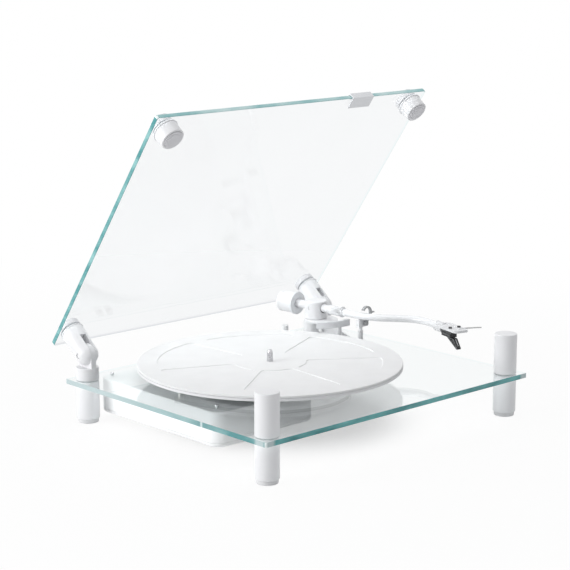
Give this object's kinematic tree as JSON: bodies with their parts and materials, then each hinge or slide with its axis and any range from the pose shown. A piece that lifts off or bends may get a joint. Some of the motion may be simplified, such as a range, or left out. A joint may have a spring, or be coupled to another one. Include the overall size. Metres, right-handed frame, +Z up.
{
  "type": "turntable",
  "caption": "Turntable on a clear glass plate with round posts, under an open hinged glass lid, with a belt-driven platter and an S-shaped tonearm.",
  "frame": {"origin": "middle of the bounding box with the lid open, on the surface that the feet stand on", "axes": "+X to the right of someone facing the front edge, +Y to the back where the lid's hinges are, +Z up"},
  "size_m": [0.436, 0.3934, 0.3941],
  "materials": {
    "white_lacquer": "satin white lacquer on metal",
    "white_shell": "fine-grained white plastic",
    "clear_glass": "polished float glass with teal edges",
    "grey_pad": "soft grey rubber",
    "pale_foot": "pale grey rubber",
    "white_mat": "matte white rubber",
    "cast_aluminium": "fine turned aluminium",
    "lacquered_aluminium": "satin white lacquer on aluminium",
    "bright_steel": "polished steel",
    "turned_brass": "turned brass",
    "motor_can": "drawn steel",
    "black_plastic": "satin black plastic",
    "dark_grey_plastic": "satin dark grey plastic",
    "belt_rubber": "ground black rubber",
    "board_laminate": "green laminate"
  },
  "bodies": {
    "base": {"base_glass": "clear_glass", "leg_front_left": "white_lacquer", "leg_front_right": "white_lacquer", "leg_rear_left": "white_lacquer", "leg_rear_right": "white_lacquer", "foot_front_left": "pale_foot", "foot_front_right": "pale_foot", "foot_rear_left": "pale_foot", "foot_rear_right": "pale_foot", "post_front_left": "white_lacquer", "post_front_right": "white_lacquer", "hinge_post_left": "white_lacquer", "hinge_post_right": "white_lacquer", "housing_shell": "white_shell", "housing_cover": "white_shell", "housing_stud_front": "bright_steel", "housing_stud_rear": "bright_steel", "motor": "motor_can", "drive_belt": "belt_rubber", "circuit_board": "board_laminate", "power_socket": "black_plastic", "signal_sockets": "black_plastic", "bearing_housing": "cast_aluminium", "arm_base": "white_lacquer", "arm_base_nut": "white_lacquer", "arm_disc": "white_lacquer", "arm_rest": "white_lacquer"},
    "lid": {"lid_glass": "clear_glass", "hinge_arm_left": "white_lacquer", "hinge_arm_right": "white_lacquer", "hinge_pin_left": "bright_steel", "hinge_pin_right": "bright_steel", "bumper_left": "white_lacquer", "bumper_right": "white_lacquer", "bumper_pad_left": "grey_pad", "bumper_pad_right": "grey_pad", "lid_cap_front_left": "white_lacquer", "lid_cap_front_right": "white_lacquer", "lid_cap_rear_left": "white_lacquer", "lid_cap_rear_right": "white_lacquer", "lid_grip": "cast_aluminium"},
    "platter": {"sub_platter": "cast_aluminium", "platter": "white_lacquer", "platter_mat": "white_mat"},
    "motor_rotor": {"motor_pulley": "turned_brass"},
    "knob": {"control_knob": "white_shell"},
    "cue": {"cue_lever": "white_shell"},
    "lift": {"lift_platform": "dark_grey_plastic"},
    "latch": {"arm_latch": "dark_grey_plastic"},
    "arm_yaw": {"arm_yaw_body": "white_lacquer"},
    "arm": {"arm_core": "white_lacquer", "arm_tube": "lacquered_aluminium", "headshell": "lacquered_aluminium", "head_screw_inner": "black_plastic", "head_screw_outer": "black_plastic", "cartridge": "black_plastic", "stylus": "black_plastic"},
    "dial": {"weight_dial": "cast_aluminium"},
    "weight": {"counterweight": "white_lacquer"}
  },
  "joints": [
    {"name": "lid_hinge", "type": "hinge", "parent": "base", "child": "lid", "pos_m": [0, 0.14967, 0.0845], "axis": [1, 0, 0], "range_deg": [0, 54.84]},
    {"name": "platter_spin", "type": "hinge", "parent": "base", "child": "platter", "pos_m": [-0.0413, -0.00813, 0.0535], "axis": [0, 0, 1], "continuous": true},
    {"name": "motor_spin", "type": "hinge", "parent": "base", "child": "motor_rotor", "pos_m": [-0.15, 0.03167, 0.0535], "axis": [0, 0, 1], "continuous": true},
    {"name": "knob_turn", "type": "hinge", "parent": "base", "child": "knob", "pos_m": [0.125, 0.14467, 0.0535], "axis": [0, 0, -1], "range_deg": [0, 90]},
    {"name": "cue_raise", "type": "hinge", "parent": "base", "child": "cue", "pos_m": [0.13883, 0.08595, 0.0735], "axis": [-0.9929, -0.1193, 0], "range_deg": [0, 35]},
    {"name": "lift_rise", "type": "slide", "parent": "base", "child": "lift", "axis": [0, 0, 1], "range_m": [0, 0.0049]},
    {"name": "latch_turn", "type": "hinge", "parent": "base", "child": "latch", "pos_m": [0.14656, 0.01658, 0.0915], "axis": [0.1193, -0.9929, 0], "range_deg": [-35, 25]},
    {"name": "arm_swing", "type": "hinge", "parent": "base", "child": "arm_yaw", "pos_m": [0.1374, 0.09787, 0.1015], "axis": [0, 0, -1], "range_deg": [0, 52]},
    {"name": "arm_raise", "type": "hinge", "parent": "arm_yaw", "child": "arm", "pos_m": [0.1374, 0.09787, 0.1015], "axis": [-0.9929, -0.1193, 0], "range_deg": [0, 1.4]},
    {"name": "weight_travel", "type": "slide", "parent": "arm", "child": "dial", "axis": [0.1193, -0.9929, 0], "range_m": [0, 0.008]},
    {"name": "weight_turn", "type": "hinge", "parent": "dial", "child": "weight", "pos_m": [0.1374, 0.09787, 0.1015], "axis": [0.1193, -0.9929, 0], "range_deg": [0, 1440]}
  ],
  "couplings": [
    {"joint": "motor_spin", "follows": "platter_spin", "ratio": 16.333},
    {"joint": "cue_raise", "follows": "lift_rise", "rad_per_m": 124.65},
    {"joint": "arm_raise", "follows": "lift_rise", "rad_per_m": 4.986},
    {"joint": "weight_turn", "follows": "weight_travel", "rad_per_m": 3141.6}
  ]
}
